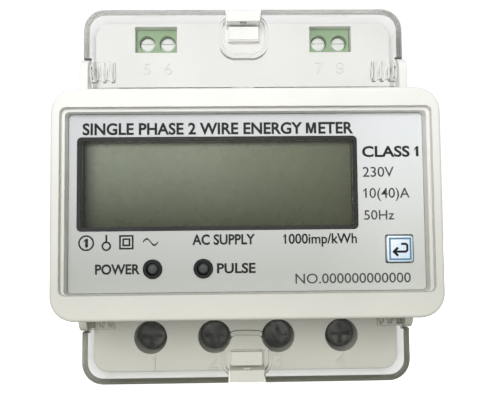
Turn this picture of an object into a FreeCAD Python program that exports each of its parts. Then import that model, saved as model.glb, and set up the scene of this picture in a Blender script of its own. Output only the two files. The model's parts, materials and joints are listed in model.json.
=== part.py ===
"""Single-phase electronic energy meter for a 35 mm DIN rail.

Frame: X to the right, +Z up, the front of the meter faces -Y.  The origin is the middle of
the rail seat, on the plane where the rail's flanges bear.  "Depth" below is the distance in
front of that plane, so a depth is always -Y.  All lengths are in millimetres.
"""
import FreeCAD, Part
import math
import os
import re

import Sketcher

SIZES = {
    # housing outline
    "body_width": 76.0,
    "body_height": 88.0,
    "body_rise": 3.3,
    "body_corner": 5.0,
    "wall": 2.0,
    "rear_reach": 7.0,
    "part_line": 9.0,
    "ledge_depth": 29.7,
    "deck_depth": 38.7,
    "bezel_depth": 65.0,
    "bezel_height": 45.0,
    "bezel_corner": 4.8,
    "edge_round": 0.7,
    # recess and faceplate
    "recess_width": 71.0,
    "recess_height": 35.6,
    "recess_rise": 0.25,
    "recess_sink": 3.8,
    "recess_step": 0.7,
    "plate_thick": 0.5,
    # display
    "lcd_width": 55.9,
    "lcd_height": 18.7,
    "lcd_across": -5.8,
    "lcd_up": 4.05,
    "lcd_border": 0.8,
    "lens_thick": 0.8,
    "glass_thick": 2.4,
    "board_thick": 1.6,
    "main_board_depth": 28.0,
    "display_board_depth": 50.4,
    # lamps and key
    "lamp_across": -13.8,
    "lamp_pitch": 10.0,
    "lamp_up": -12.86,
    "sleeve_radius": 1.9,
    "lamp_radius": 1.15,
    "key_across": 30.27,
    "key_up": -9.35,
    "key_width": 5.15,
    "key_play": 0.3,
    # terminal covers
    "cover_depth": 44.3,
    "cover_plate": 1.6,
    "cover_wall": 1.3,
    "cover_gap": 0.2,
    "cover_foot": 30.0,
    "hinge_inset": 15.4,
    "hinge_sink": 0.8,
    "lug_radius": 3.0,
    "cheek": 1.8,
    "hinge_play": 0.3,
    "rib_radius": 2.4,
    "pin_radius": 1.1,
    "pin_play": 0.05,
    "pin_reach": 1.4,
    "apron_reach": 3.6,
    "apron_low_reach": 2.5,
    "pocket_width": 10.1,
    "pocket_length": 10.8,
    "pocket_end": 1.9,
    "pocket_wall": 0.9,
    "pocket_corner": 3.0,
    "pocket_floor": 41.1,
    # seal lugs of the housing
    "seal_width": 8.0,
    "seal_end": 0.3,
    "seal_length": 2.9,
    "seal_wall": 0.8,
    "seal_sink": 0.4,
    "seal_play": 0.3,
    "seal_pad_gap": 0.4,
    "seal_pad_length": 3.2,
    "seal_pad_depth": 41.4,
    "notch_length": 6.9,
    "eye_width": 1.7,
    "eye_height": 1.6,
    # main terminals
    "pole_pitch": 15.3,
    "pole_up": -31.0,
    "well_radius": 3.95,
    "well_wall": 1.25,
    "well_floor": 33.5,
    "well_flange": 1.3,
    "screw_radius": 2.45,
    "head_radius": 3.65,
    "head_thick": 2.4,
    "head_play": 0.3,
    "thread_play": 0.05,
    "bar_depth": 18.3,
    "bar_thick": 1.5,
    "bar_width": 6.8,
    "cage_width": 9.2,
    "cage_length": 8.6,
    "cage_wall": 1.6,
    "wire_room": 6.0,
    "wire_radius": 3.4,
    # auxiliary terminals
    "aux_across": 21.57,
    "aux_up": 41.35,
    "aux_pitch": 5.08,
    "aux_face": 36.6,
    "aux_height": 13.0,
    "aux_window_width": 10.3,
    "aux_window_height": 6.5,
    "aux_well_radius": 2.0,
    "aux_head_radius": 1.85,
    "aux_head_thick": 1.3,
    "aux_head_sink": 1.0,
    "aux_screw_radius": 1.45,
    "aux_wire_radius": 1.9,
    # rail seat and rail clip
    "rail_half": 17.5,
    "rail_grip": 1.5,
    "rail_flange": 1.3,
    "clip_width": 18.0,
    "clip_thick": 3.0,
    "clip_end": -45.5,
    # shell screws and board posts
    "boss_across": 32.6,
    "boss_inset": 5.0,
    "post_across": 33.2,
    "post_up": 17.8,
    "header_across": 33.5,
    "header_width": 15.4,
    # hairpin spring of the rail clip
    "spring_half": 1.75,
    "spring_wire": 0.4,
    "spring_depth": -2.7,
    "spring_up": -30.0,
}

ABOUT_X = FreeCAD.Rotation(FreeCAD.Vector(1, 0, 0), 90)
ABOUT_Y = FreeCAD.Rotation(FreeCAD.Vector(0, 1, 0), 90)
UPRIGHT = FreeCAD.Rotation()
TURN_OVER = FreeCAD.Rotation(FreeCAD.Vector(0, 1, 0), 180)

doc = FreeCAD.newDocument("smart_meter")
sheet = doc.addObject("Spreadsheet::Sheet", "Sizes")
for row, (word, value) in enumerate(SIZES.items(), start=1):
    sheet.set(f"A{row}", word)
    sheet.set(f"B{row}", str(value))
    sheet.setAlias(f"B{row}", word)
doc.recompute()

nodes = []
cuts = []


# ---------------------------------------------------------------- helpers

def formula(text):
    """A sheet formula: every size word in the text becomes a reference to its cell."""
    return re.sub(r"[a-z_]+", lambda found: "Sizes." + found.group()
                  if found.group() in SIZES else found.group(), str(text))


def amount(text):
    """The present value of a formula, in millimetres, from FreeCAD's expression engine."""
    return float(sheet.evalExpression(formula(text)))


def bind(item, **formulas):
    """Ties properties to formulas; a double underscore stands for a dot."""
    for name, text in formulas.items():
        item.setExpression(name.replace("__", "."), formula(text))


def place(item, across, depth, up, turn=UPRIGHT):
    """Puts an object's own origin at a place given in X, depth and Z."""
    item.Placement = FreeCAD.Placement(FreeCAD.Vector(), turn)
    bind(item, Placement__Base__x=across, Placement__Base__y=f"-({depth})", Placement__Base__z=up)


def block(name, across, depth, up):
    """A box between two faces along X, depth and Z, each given as (low, high)."""
    item = doc.addObject("Part::Box", name)
    bind(item, Length=f"({across[1]}) - ({across[0]})", Width=f"({depth[1]}) - ({depth[0]})",
         Height=f"({up[1]}) - ({up[0]})")
    place(item, across[0], depth[1], up[0])
    return item


def rod(name, radius, across, depth, up, length, axis="depth"):
    """A cylinder that starts at a place and runs forward, to the right or up."""
    item = doc.addObject("Part::Cylinder", name)
    bind(item, Radius=radius, Height=length)
    turns = {"depth": ABOUT_X, "across": ABOUT_Y, "up": UPRIGHT}
    place(item, across, depth, up, turns[axis])
    return item


def dome(name, radius, across, depth, up):
    """A ball centred at a place."""
    item = doc.addObject("Part::Sphere", name)
    bind(item, Radius=radius)
    place(item, across, depth, up)
    return item


def fuse(name, pieces):
    """Several solids joined into one."""
    item = doc.addObject("Part::MultiFuse", name)
    item.Shapes = pieces
    item.Refine = True
    return item


def cut(name, base, tools):
    """A solid with tools taken away; each cut has to remove something."""
    item = doc.addObject("Part::Cut", name)
    item.Base = base
    item.Tool = tools[0] if len(tools) == 1 else fuse(name + "_tools", tools)
    item.Refine = True
    cuts.append(item)
    return item


def group(name, pieces):
    """Separate identical solids that share one node."""
    item = doc.addObject("Part::Compound", name)
    item.Links = pieces
    return node(item, name)


def node(item, label):
    """Marks an object as a finished sub-part under its own label."""
    item.Label = label
    nodes.append(item)
    return item


def place_datum(sketch, kind, geometry, point, start, text):
    """A signed distance from the sketch origin to a point, bound to a formula."""
    index = sketch.addConstraint(Sketcher.Constraint(kind, -1, 1, geometry, point, start))
    sketch.setExpression(f"Constraints[{index}]", formula(text))


def draw_circle(sketch, across, up, radius):
    """A circle bound by its centre and radius."""
    centre = FreeCAD.Vector(amount(across), amount(up), 0)
    ring = sketch.addGeometry(Part.Circle(centre, FreeCAD.Vector(0, 0, 1), amount(radius)))
    index = sketch.addConstraint(Sketcher.Constraint("Radius", ring, amount(radius)))
    sketch.setExpression(f"Constraints[{index}]", formula(radius))
    place_datum(sketch, "DistanceX", ring, 3, centre.x, across)
    place_datum(sketch, "DistanceY", ring, 3, centre.y, up)


def draw_rounded(sketch, left, right, low, high, corner):
    """A rectangle with four equal round corners."""
    first = len(sketch.Geometry)
    x0, x1, z0, z1, r = (amount(text) for text in (left, right, low, high, corner))
    corners = [(x0 + r, z0), (x1 - r, z0), (x1, z0 + r), (x1, z1 - r),
               (x1 - r, z1), (x0 + r, z1), (x0, z1 - r), (x0, z0 + r)]
    points = [FreeCAD.Vector(x, z, 0) for x, z in corners]
    for side in range(4):
        sketch.addGeometry(Part.LineSegment(points[2 * side], points[2 * side + 1]))
    centres = [(x1 - r, z0 + r), (x1 - r, z1 - r), (x0 + r, z1 - r), (x0 + r, z0 + r)]
    for quarter, (x, z) in enumerate(centres):
        ring = Part.Circle(FreeCAD.Vector(x, z, 0), FreeCAD.Vector(0, 0, 1), r)
        start = math.radians(90 * (quarter - 1))
        sketch.addGeometry(Part.ArcOfCircle(ring, start, start + math.radians(90)))
    for side in range(4):
        arc = first + 4 + side
        following = first + (side + 1) % 4
        sketch.addConstraint(Sketcher.Constraint("Tangent", first + side, 2, arc, 1))
        sketch.addConstraint(Sketcher.Constraint("Tangent", arc, 2, following, 1))
        level = "Horizontal" if side % 2 == 0 else "Vertical"
        sketch.addConstraint(Sketcher.Constraint(level, first + side))
    for arc in range(first + 5, first + 8):
        sketch.addConstraint(Sketcher.Constraint("Equal", first + 4, arc))
    index = sketch.addConstraint(Sketcher.Constraint("Radius", first + 4, r))
    sketch.setExpression(f"Constraints[{index}]", formula(corner))
    place_datum(sketch, "DistanceX", first + 7, 3, x0 + r, f"({left}) + ({corner})")
    place_datum(sketch, "DistanceX", first + 5, 3, x1 - r, f"({right}) - ({corner})")
    place_datum(sketch, "DistanceY", first + 7, 3, z0 + r, f"({low}) + ({corner})")
    place_datum(sketch, "DistanceY", first + 5, 3, z1 - r, f"({high}) - ({corner})")


def front_sketch(body, name, depth):
    """A sketch parallel to the front, at a depth; its normal points forward."""
    plane = [item for item in body.Origin.OriginFeatures if item.Role == "XZ_Plane"][0]
    sketch = body.newObject("Sketcher::SketchObject", name)
    sketch.AttachmentSupport = [(plane, "")]
    sketch.MapMode = "FlatFace"
    bind(sketch, AttachmentOffset__Base__z=depth)
    return sketch


def slab(name, depth, outlines, rounding=None):
    """A PartDesign body: outlines seen from the front, padded from one depth to another.

    An outline is (left, right, low, high, corner) or (across, up, radius).  A rounding
    fillets the front edge of the outermost outline.
    """
    body = doc.addObject("PartDesign::Body", name)
    sketch = front_sketch(body, name + "_sketch", depth[0])
    for outline in outlines:
        if len(outline) == 3:
            draw_circle(sketch, *outline)
        else:
            draw_rounded(sketch, *outline)
    pad = body.newObject("PartDesign::Pad", name + "_pad")
    pad.Profile = sketch
    bind(pad, Length=f"({depth[1]}) - ({depth[0]})")
    doc.recompute()
    if rounding:
        fillet = body.newObject("PartDesign::Fillet", name + "_fillet")
        fillet.Base = (pad, front_edges(pad, len(outlines)))
        bind(fillet, Radius=rounding)
        doc.recompute()
    return body


def front_edges(feature, outlines):
    """Names of the edges round the outermost outline of a pad's front face."""
    shape = feature.Shape
    front = max(shape.Faces, key=lambda face: -face.CenterOfMass.y)
    rim = front.OuterWire if outlines > 1 else front
    wanted = [edge.hashCode() for edge in rim.Edges]
    return [f"Edge{index}" for index, edge in enumerate(shape.Edges, start=1)
            if edge.hashCode() in wanted]


def half(word):
    """The two ends of a length that is centred on zero."""
    return f"-({word}) / 2", f"({word}) / 2"


def around(middle, length):
    """The two ends of a length that is centred on a place."""
    return f"({middle}) - ({length}) / 2", f"({middle}) + ({length}) / 2"


BODY_TOP = "(body_rise + body_height / 2)"
BODY_BOTTOM = "(body_rise - body_height / 2)"
HINGE_TOP = f"({BODY_TOP} - hinge_inset)"
HINGE_DEPTH = "(cover_depth - hinge_sink)"
POLES = [f"({step}) * pole_pitch" for step in (-1.5, -0.5, 0.5, 1.5)]
AUX_POLES = [f"({side}) * aux_across + ({step}) * aux_pitch"
             for side in (-1, 1) for step in (-0.5, 0.5)]
BOSSES = [(f"({side}) * boss_across", level) for side in (-1, 1)
          for level in (f"{BODY_TOP} - boss_inset", f"{BODY_BOTTOM} + boss_inset")]
POSTS = [(f"({side}) * post_across", f"({level}) * post_up") for side in (-1, 1) for level in (-1, 1)]


def outline_body(inset):
    """The housing outline, drawn in by an inset."""
    return (f"-(body_width / 2 - ({inset}))", f"body_width / 2 - ({inset})",
            f"{BODY_BOTTOM} + ({inset})", f"{BODY_TOP} - ({inset})", f"body_corner - ({inset})")


def outline_tower(inset):
    """The raised front's outline, drawn in by an inset."""
    return (f"-(body_width / 2 - ({inset}))", f"body_width / 2 - ({inset})",
            f"-(bezel_height / 2 - ({inset}))", f"bezel_height / 2 - ({inset})",
            f"bezel_corner - ({inset})")


def outline_centred(across, up, width, height, corner):
    """A rounded rectangle by its centre and size."""
    return (*around(across, width), *around(up, height), corner)


GLASS_UP = "lcd_up + 0.4"
BOARD_TOP = "(main_board_depth + board_thick)"
LCD_ROW = [(f"lcd_across + ({index - 9.5}) * 2.6", "lcd_up - lcd_height / 2 - 0.4")
           for index in range(20)]
AUX_SEAT = "(aux_face - aux_head_sink - aux_head_thick)"
AUX_WIRE_DEPTH = "(aux_face - aux_height / 2 - 3.8)"
LCD_OPENING = outline_centred("lcd_across", "lcd_up", "lcd_width + 0.1", "lcd_height + 0.1", "0.9")
KEY_OPENING = outline_centred("key_across", "key_up", "key_width + 2 * key_play",
                              "key_width + 2 * key_play", "0.5")


# ---------------------------------------------------------------- housing

def base_housing():
    """Rear shell with the rail seat, the clip's guide and posts for board and screws."""
    shell = slab("base_block", ("-rear_reach", "part_line"), [outline_body("0")])
    inner = ("-(body_width / 2 - wall)", "body_width / 2 - wall")
    room = slab("base_room", ("wall", "part_line + 1"), [outline_body("wall")])
    attic = block("base_attic", inner, ("wall - rear_reach", "part_line + 1"),
                  ("rail_half + 3.4", f"{BODY_TOP} - wall"))
    seat = block("rail_channel", ("-body_width", "body_width"), ("-rear_reach - 1", "0"),
                 ("-rail_half - 0.7", "rail_half - rail_grip"))
    hook = block("rail_hook_slot", ("-body_width", "body_width"), ("-rail_flange", "0"),
                 ("rail_half - rail_grip - 1", "rail_half + 0.2"))
    guide = block("clip_guide", half("clip_width + 0.6"),
                  ("-(clip_thick + 1.5)", "-0.9"), (f"{BODY_BOTTOM} - 1", "-rail_half"))
    hollow = cut("base_hollow", shell, [room, attic, seat, hook, guide])
    solids = [hollow]
    for index, (across, up) in enumerate(BOSSES):
        solids.append(rod(f"base_boss{index}", "3.5", across, "-rear_reach + 1", up,
                          "part_line + rear_reach - 1.2"))
    for index, (across, up) in enumerate(POSTS):
        solids.append(rod(f"board_post{index}", "2.2", across, "wall - 0.5", up, "26.5 - wall"))
    solids.append(rod("spring_post", "1.2", "0", "-(clip_thick + 2)", "-30", "clip_thick + 2"))
    joined = fuse("base_joined", solids)
    holes = []
    for index, (across, up) in enumerate(BOSSES):
        holes.append(rod(f"base_screw_hole{index}", "1.6", across, "-rear_reach - 1", up, "40"))
        holes.append(rod(f"base_head_hole{index}", "3.0", across, "-rear_reach - 1", up, "3.4"))
    for index, (across, up) in enumerate(POSTS):
        holes.append(rod(f"post_hole{index}", "0.95", across, "18", up, "12"))
    vents = []
    for column in range(5):
        for side in (-1, 1):
            middle = f"{side} * (8 + {column} * 4)"
            vents.append(block(f"vent{column}_{side + 1}", around(middle, "1.6"),
                               ("-rear_reach - 1", "wall - rear_reach + 1"), ("28", "40")))
    node(cut("base_housing", joined, holes + vents), "base_housing")


def cheek(name, side):
    """A hinge cheek beside the raised front: a wall with one round corner and a pin hole."""
    outer = f"{side} * body_width / 2"
    inner = f"{side} * (body_width / 2 - cheek)"
    across = (outer, inner) if side < 0 else (inner, outer)
    top = f"{HINGE_TOP} + lug_radius"
    return [
        block(name + "_wall", across, ("ledge_depth - 1", HINGE_DEPTH),
              ("bezel_height / 2 - 6", top)),
        block(name + "_rise", across, (HINGE_DEPTH, f"{HINGE_DEPTH} + lug_radius"),
              ("bezel_height / 2 - 6", HINGE_TOP)),
        rod(name + "_lug", "lug_radius", across[0], HINGE_DEPTH, HINGE_TOP, "cheek", "across"),
    ]


def cheek_hole(name, side):
    """The blind hole that takes a cover's hinge pin."""
    start = f"{side} * (body_width / 2 - cheek)"
    reach = "pin_reach + 0.2"
    if side < 0:
        start = f"{start} - ({reach})"
    return rod(name, "pin_radius + pin_play", start, HINGE_DEPTH, HINGE_TOP, reach, "across")


def turned_over(name, pieces):
    """Some solids joined and turned half a revolution about the body's middle."""
    item = fuse(name, pieces)
    item.Placement = FreeCAD.Placement(FreeCAD.Vector(), TURN_OVER)
    bind(item, Placement__Base__z="2 * body_rise")
    return item


def front_shell():
    """The front housing's outside: skirt, deck, raised front, hinge cheeks and seal lugs."""
    solids = [
        slab("skirt", ("part_line", "ledge_depth"), [outline_body("0")]),
        slab("deck", ("ledge_depth - 0.5", "deck_depth"),
             [outline_body("cover_wall + cover_gap")], "0.4"),
        slab("tower", ("ledge_depth - 0.5", "bezel_depth"), [outline_tower("0")], "edge_round"),
    ]
    solids += seal_lug("seal_lug")
    lower = seal_lug("low_seal_lug")
    for side in (-1, 1):
        solids += cheek(f"cheek{side + 1}", side)
        lower += cheek(f"low_cheek{side + 1}", side)
    solids.append(turned_over("low_fixtures", lower))
    return fuse("front_shell", solids)


def seal_lug(name):
    """The lug that stands up through a cover's notch, and the pad beside it."""
    lug = block(name, half("seal_width"), ("ledge_depth - 0.5", "cover_depth - seal_sink"),
                (f"{BODY_TOP} - seal_length", f"{BODY_TOP} - seal_end"))
    edge = f"{BODY_TOP} - seal_length - seal_pad_gap"
    pad = block(name + "_pad", half("seal_width - 0.6"), ("deck_depth - 0.5", "seal_pad_depth"),
                (f"{edge} - seal_pad_length", edge))
    return [lug, pad]


def seal_eye(name):
    """The hollow of a seal lug and the eye that a wire passes through, up and down."""
    top = "cover_depth - seal_sink - seal_wall"
    hollow = block(name + "_hollow", half("seal_width - 2 * seal_wall"), ("deck_depth", top),
                   (f"{BODY_TOP} - seal_length + seal_wall", f"{BODY_TOP} - seal_end - seal_wall"))
    eye = block(name, half("eye_width"), (f"{top} + 0.3 - eye_height", f"{top} + 0.3"),
                (f"{BODY_TOP} - seal_length - 1", f"{BODY_TOP} + 1"))
    return [hollow, eye]


def front_inside():
    """The front housing's hollows: skirt, deck and raised front, and the faceplate recess."""
    inset = "cover_wall + cover_gap + wall"
    recess = ("0", "recess_rise", "recess_width", "recess_height")
    bays = [block(f"aux_bay{side + 1}", around(f"{side} * aux_across", "2 * aux_pitch + 0.4"),
                  ("part_line", "deck_depth - wall"), ("aux_up - 4.2", f"{BODY_TOP} - wall"))
            for side in (-1, 1)]
    return bays + [
        slab("skirt_room", ("part_line - 1", "ledge_depth - wall"), [outline_body("wall")]),
        slab("deck_room", ("part_line - 1", "deck_depth - wall"), [outline_body(inset)]),
        slab("tower_room", ("part_line - 1", "bezel_depth - recess_sink - wall"),
             [outline_tower("wall")]),
        slab("recess", ("bezel_depth - recess_sink", "bezel_depth + 1"),
             [outline_centred(*recess, "0.8")]),
        slab("recess_brim", ("bezel_depth - 1.2", "bezel_depth + 1"),
             [outline_centred("0", "recess_rise + recess_step / 2",
                              "recess_width + 2 * recess_step", "recess_height + recess_step",
                              "1.2")]),
    ]


def front_fixtures():
    """Wells, partitions, screw bosses and board posts inside the front housing."""
    solids = []
    well_back = "well_floor - well_flange"
    for index, across in enumerate(POLES):
        solids.append(rod(f"well{index}", "well_radius + well_wall", across, well_back,
                          "pole_up", f"deck_depth - 0.5 - ({well_back})"))
    for step in range(-2, 3):
        solids.append(block(f"partition{step + 2}", around(f"({step}) * pole_pitch", "1.6"),
                            ("part_line + 0.5", "deck_depth - 1"),
                            (f"{BODY_BOTTOM} + wall - 0.1", "pole_up + 6.5")))
    for index, (across, up) in enumerate(BOSSES):
        solids.append(rod(f"front_boss{index}", "3.0", across, "part_line + 0.3", up,
                          "deck_depth - 1 - part_line"))
    board_front = "display_board_depth + board_thick"
    for index, (across, up) in enumerate(POSTS):
        solids.append(rod(f"panel_post{index}", "1.9", across, board_front, up,
                          f"bezel_depth - recess_sink - 1 - ({board_front})"))
    return solids


def front_openings():
    """Everything that pierces the front housing."""
    floor = ("bezel_depth - recess_sink - wall - 1", "bezel_depth - recess_sink + 1")
    tools = [slab("lcd_opening", floor, [LCD_OPENING]), slab("key_opening", floor, [KEY_OPENING])]
    for step in (-0.5, 0.5):
        tools.append(rod(f"lamp_opening{step + 0.5:.0f}", "sleeve_radius + 0.05",
                         f"lamp_across + ({step}) * lamp_pitch", floor[0], "lamp_up", "wall + 2"))
    for index, across in enumerate(POLES):
        tools.append(rod(f"well_bore{index}", "well_radius", across, "well_floor", "pole_up", "20"))
        tools.append(rod(f"shank_bore{index}", "screw_radius + 0.4", across, "well_floor - 3",
                         "pole_up", "5"))
        tools.append(rod(f"wire_bore{index}", "wire_radius", across, "bar_depth - wire_room / 2",
                         f"{BODY_BOTTOM} - 1", "wall + 1.6", "up"))
    for index, across in enumerate(AUX_POLES):
        tools.append(rod(f"aux_bore{index}", "aux_wire_radius", across, AUX_WIRE_DEPTH,
                         f"{BODY_TOP} - wall - 0.5", "wall + 2", "up"))
    for side in (-1, 1):
        tools.append(block(f"aux_window{side + 1}",
                           around(f"{side} * aux_across", "aux_window_width"),
                           ("deck_depth - wall - 1", "deck_depth + 1"),
                           around("aux_up + 0.25", "aux_window_height")))
        tools.append(cheek_hole(f"pin_hole{side + 1}", side))
    lower = [cheek_hole(f"low_pin_hole{side + 1}", side) for side in (-1, 1)]
    tools.append(turned_over("low_holes", lower + seal_eye("low_seal_eye")))
    tools += seal_eye("seal_eye")
    for index, (across, up) in enumerate(BOSSES):
        tools.append(rod(f"boss_hole{index}", "1.35", across, "part_line - 1", up, "14"))
    for index, (across, up) in enumerate(POSTS):
        tools.append(rod(f"panel_hole{index}", "0.9", across, "display_board_depth", up, "6.5"))
    return tools


def front_housing():
    """Front shell: one white moulding with deck, raised front, recess and cheeks."""
    hollow = cut("front_hollow", front_shell(), front_inside())
    joined = fuse("front_joined", [hollow] + front_fixtures())
    node(cut("front_housing", joined, front_openings()), "front_housing")


def housing_screws():
    """Four pan-head screws that draw the two shells together from behind."""
    screws = []
    for index, (across, up) in enumerate(BOSSES):
        head = rod(f"shell_head{index}", "2.6", across, "-6.6", up, "1.9")
        shank = rod(f"shell_shank{index}", "1.3", across, "-4.8", up, "24")
        slot = block(f"shell_slot{index}", around(across, "3.4"), ("-7", "-5.9"), around(up, "0.7"))
        cross = block(f"shell_cross{index}", around(across, "0.7"), ("-7", "-5.9"), around(up, "3.4"))
        whole = fuse(f"shell_screw_whole{index}", [head, shank])
        screws.append(cut(f"shell_screw{index}", whole, [slot, cross]))
    group("housing_screws", screws)


# ---------------------------------------------------------------- terminal covers

def cover(label, over):
    """A clear terminal cover: plate, rim, seal pocket and notch, knuckles and hinge pins."""
    tag = label[:3]
    full = outline_body("0")
    inner = outline_body("cover_wall")
    low = f"{HINGE_TOP} + lug_radius + 0.4"
    outer = slab(tag + "_outer", ("cover_foot", "cover_depth"), [full], "1.0")
    room = slab(tag + "_room", ("cover_foot - 1", "cover_depth - cover_plate"), [inner])
    away = block(tag + "_away", ("-body_width", "body_width"), ("cover_foot - 2", "cover_depth + 1"),
                 ("-body_height", low))
    mouth = pocket_outline(tag + "_mouth", ("pocket_floor", "cover_depth + 1"), "0")
    rim = cut(tag + "_rim", outer, [room, away, mouth])
    reach = "apron_low_reach" if over else "apron_reach"
    solids = [rim, apron(tag, low, reach), seal_pocket(tag)]
    for side in (-1, 1):
        solids += knuckle(f"{tag}_knuckle{side + 1}", side)
    joined = fuse(tag + "_joined", solids)
    notch = block(tag + "_notch", half("seal_width + 2 * seal_play"),
                  ("cover_foot - 1", "cover_depth + 1"), (f"{BODY_TOP} - notch_length", f"{BODY_TOP} + 1"))
    item = node(cut(label, joined, [notch]), label)
    if over:
        item.Placement = FreeCAD.Placement(FreeCAD.Vector(), TURN_OVER)
        bind(item, Placement__Base__z="2 * body_rise")


def pocket_outline(name, depth, grow):
    """A prism with the seal pocket's rounded outline, grown by an amount."""
    side = f"pocket_width / 2 + ({grow})"
    return slab(name, depth, [(f"-({side})", side, f"{BODY_TOP} - pocket_length - ({grow})",
                               f"{BODY_TOP} - pocket_end + ({grow})", f"pocket_corner + ({grow})")])


def apron(tag, low, reach):
    """The part of the plate that reaches between the cheeks to the hinge line."""
    side = "body_width / 2 - cheek - hinge_play"
    return block(tag + "_apron", (f"-({side})", side), ("cover_depth - cover_plate", "cover_depth"),
                 (f"{HINGE_TOP} - ({reach})", f"{low} + 0.5"))


def seal_pocket(tag):
    """The pocket's wall and floor."""
    wall = pocket_outline(tag + "_pocket_wall", ("pocket_floor", "cover_depth"), "pocket_wall")
    hollow = pocket_outline(tag + "_pocket_room", ("pocket_floor + pocket_wall", "cover_depth + 1"), "0")
    return cut(tag + "_pocket", wall, [hollow])


def knuckle(name, side):
    """Three round ribs on the hinge line, the strip that joins them, and the pin."""
    solids = []
    for index, (start, thick) in enumerate(((30.7, 0.8), (32.7, 0.8), (34.7, 1.2))):
        edge = start if side > 0 else -(start + thick)
        solids.append(rod(f"{name}_rib{index}", "rib_radius", edge, HINGE_DEPTH, HINGE_TOP,
                          thick, "across"))
    strip = (30.7, 35.9) if side > 0 else (-35.9, -30.7)
    solids.append(block(f"{name}_strip", strip, (f"{HINGE_DEPTH} - 1.7", HINGE_DEPTH),
                        (f"{HINGE_TOP} - 1.6", f"{HINGE_TOP} + 2.9")))
    inner = "body_width / 2 - cheek - hinge_play"
    reach = "pin_reach + hinge_play"
    start = inner if side > 0 else f"-({inner}) - ({reach})"
    solids.append(rod(f"{name}_pin", "pin_radius", start, HINGE_DEPTH, HINGE_TOP, reach, "across"))
    return solids


# ---------------------------------------------------------------- front panel

def faceplate():
    """Printed sheet on the recess floor, with openings for display, lamps and key."""
    holes = [
        outline_centred("0", "recess_rise", "recess_width - 0.2", "recess_height - 0.2", "0.7"),
        LCD_OPENING,
        KEY_OPENING,
    ]
    for step in (-0.5, 0.5):
        holes.append((f"lamp_across + ({step}) * lamp_pitch", "lamp_up", "sleeve_radius + 0.05"))
    start = "bezel_depth - recess_sink"
    node(slab("faceplate", (start, f"{start} + plate_thick"), holes), "faceplate")


def display():
    """Black frame, clear lens, liquid-crystal glass, its pins and the light guide."""
    face = "bezel_depth - recess_sink + plate_thick"
    back = "bezel_depth - recess_sink - wall"
    outer = outline_centred("lcd_across", "lcd_up", "lcd_width", "lcd_height", "0.8")
    inner = outline_centred("lcd_across", "lcd_up", "lcd_width - 2 * lcd_border",
                            "lcd_height - 2 * lcd_border", "0.4")
    lens = outline_centred("lcd_across", "lcd_up", "lcd_width - 2 * lcd_border - 0.1",
                           "lcd_height - 2 * lcd_border - 0.1", "0.35")
    glass = outline_centred("lcd_across", GLASS_UP, "lcd_width + 2.4", "lcd_height + 3.2", "0.3")
    node(slab("display_gasket", (f"{back} + 0.1", f"{face} + 0.15"), [outer, inner], "0.1"),
         "display_gasket")
    front = f"{face} - 0.15"
    node(slab("display_lens", (f"{front} - lens_thick", front), [lens]), "display_lens")
    node(slab("lcd_panel", (f"{back} - 0.1 - glass_thick", f"{back} - 0.1"), [glass]), "lcd_panel")
    guide_front = f"{back} - 0.2 - glass_thick"
    guide = outline_centred("lcd_across", GLASS_UP, "lcd_width + 1", "lcd_height - 1", "0.3")
    node(slab("backlight_guide", ("display_board_depth + board_thick", guide_front), [guide]),
         "backlight_guide")
    pins = []
    for index, (across, up) in enumerate(LCD_ROW):
        pins.append(block(f"lcd_pin{index}", around(across, "0.4"),
                          ("display_board_depth - 0.8", f"{guide_front} + 0.1"), around(up, "0.5")))
    group("lcd_pins", pins)


def lamps():
    """Two indicator lamps with black sleeves in the panel."""
    face = "bezel_depth - recess_sink + plate_thick"
    sleeves = []
    for name, step in (("power_led", -0.5), ("pulse_led", 0.5)):
        across = f"lamp_across + ({step}) * lamp_pitch"
        back = "bezel_depth - recess_sink - wall"
        sleeves.append(slab(name + "_sleeve", (f"{back} - 1", f"{face} + 0.35"),
                            [(across, "lamp_up", "sleeve_radius"),
                             (across, "lamp_up", "lamp_radius + 0.1")], "0.15"))
        barrel = rod(name + "_barrel", "lamp_radius", across, "54", "lamp_up", f"{face} - 0.6 - 54")
        tip = dome(name + "_tip", "lamp_radius", across, f"{face} - 0.6", "lamp_up")
        flange = rod(name + "_flange", "1.45", across, "53.2", "lamp_up", "1")
        legs = [rod(f"{name}_leg{pin}", "0.25", f"{across} + ({pin})",
                    "display_board_depth - 0.8", "lamp_up", "3.6") for pin in (-0.63, 0.63)]
        node(fuse(name, [barrel, tip, flange] + legs), name)
    group("led_holders", sleeves)


def key():
    """Square key with a retaining flange, and the switch it works."""
    back = "bezel_depth - recess_sink - wall"
    face = "bezel_depth - recess_sink + plate_thick"
    cap = outline_centred("key_across", "key_up", "key_width", "key_width", "0.5")
    brim = outline_centred("key_across", "key_up", "key_width + 1.6", "key_width + 1.6", "0.5")
    top = slab("key_cap", (f"{back} - 1.6", f"{face} + 0.5"), [cap], "0.3")
    flange = slab("key_flange", (f"{back} - 1.6", f"{back} - 0.4"), [brim])
    node(fuse("push_button", [top, flange]), "push_button")
    body = slab("switch_body", ("display_board_depth + board_thick", "55.4"),
                [outline_centred("key_across", "key_up", "6", "6", "0.4")])
    plunger = rod("switch_plunger", "1.6", "key_across", "55", "key_up", "1.6")
    node(fuse("tact_switch", [body, plunger]), "tact_switch")


# ---------------------------------------------------------------- terminals

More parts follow.
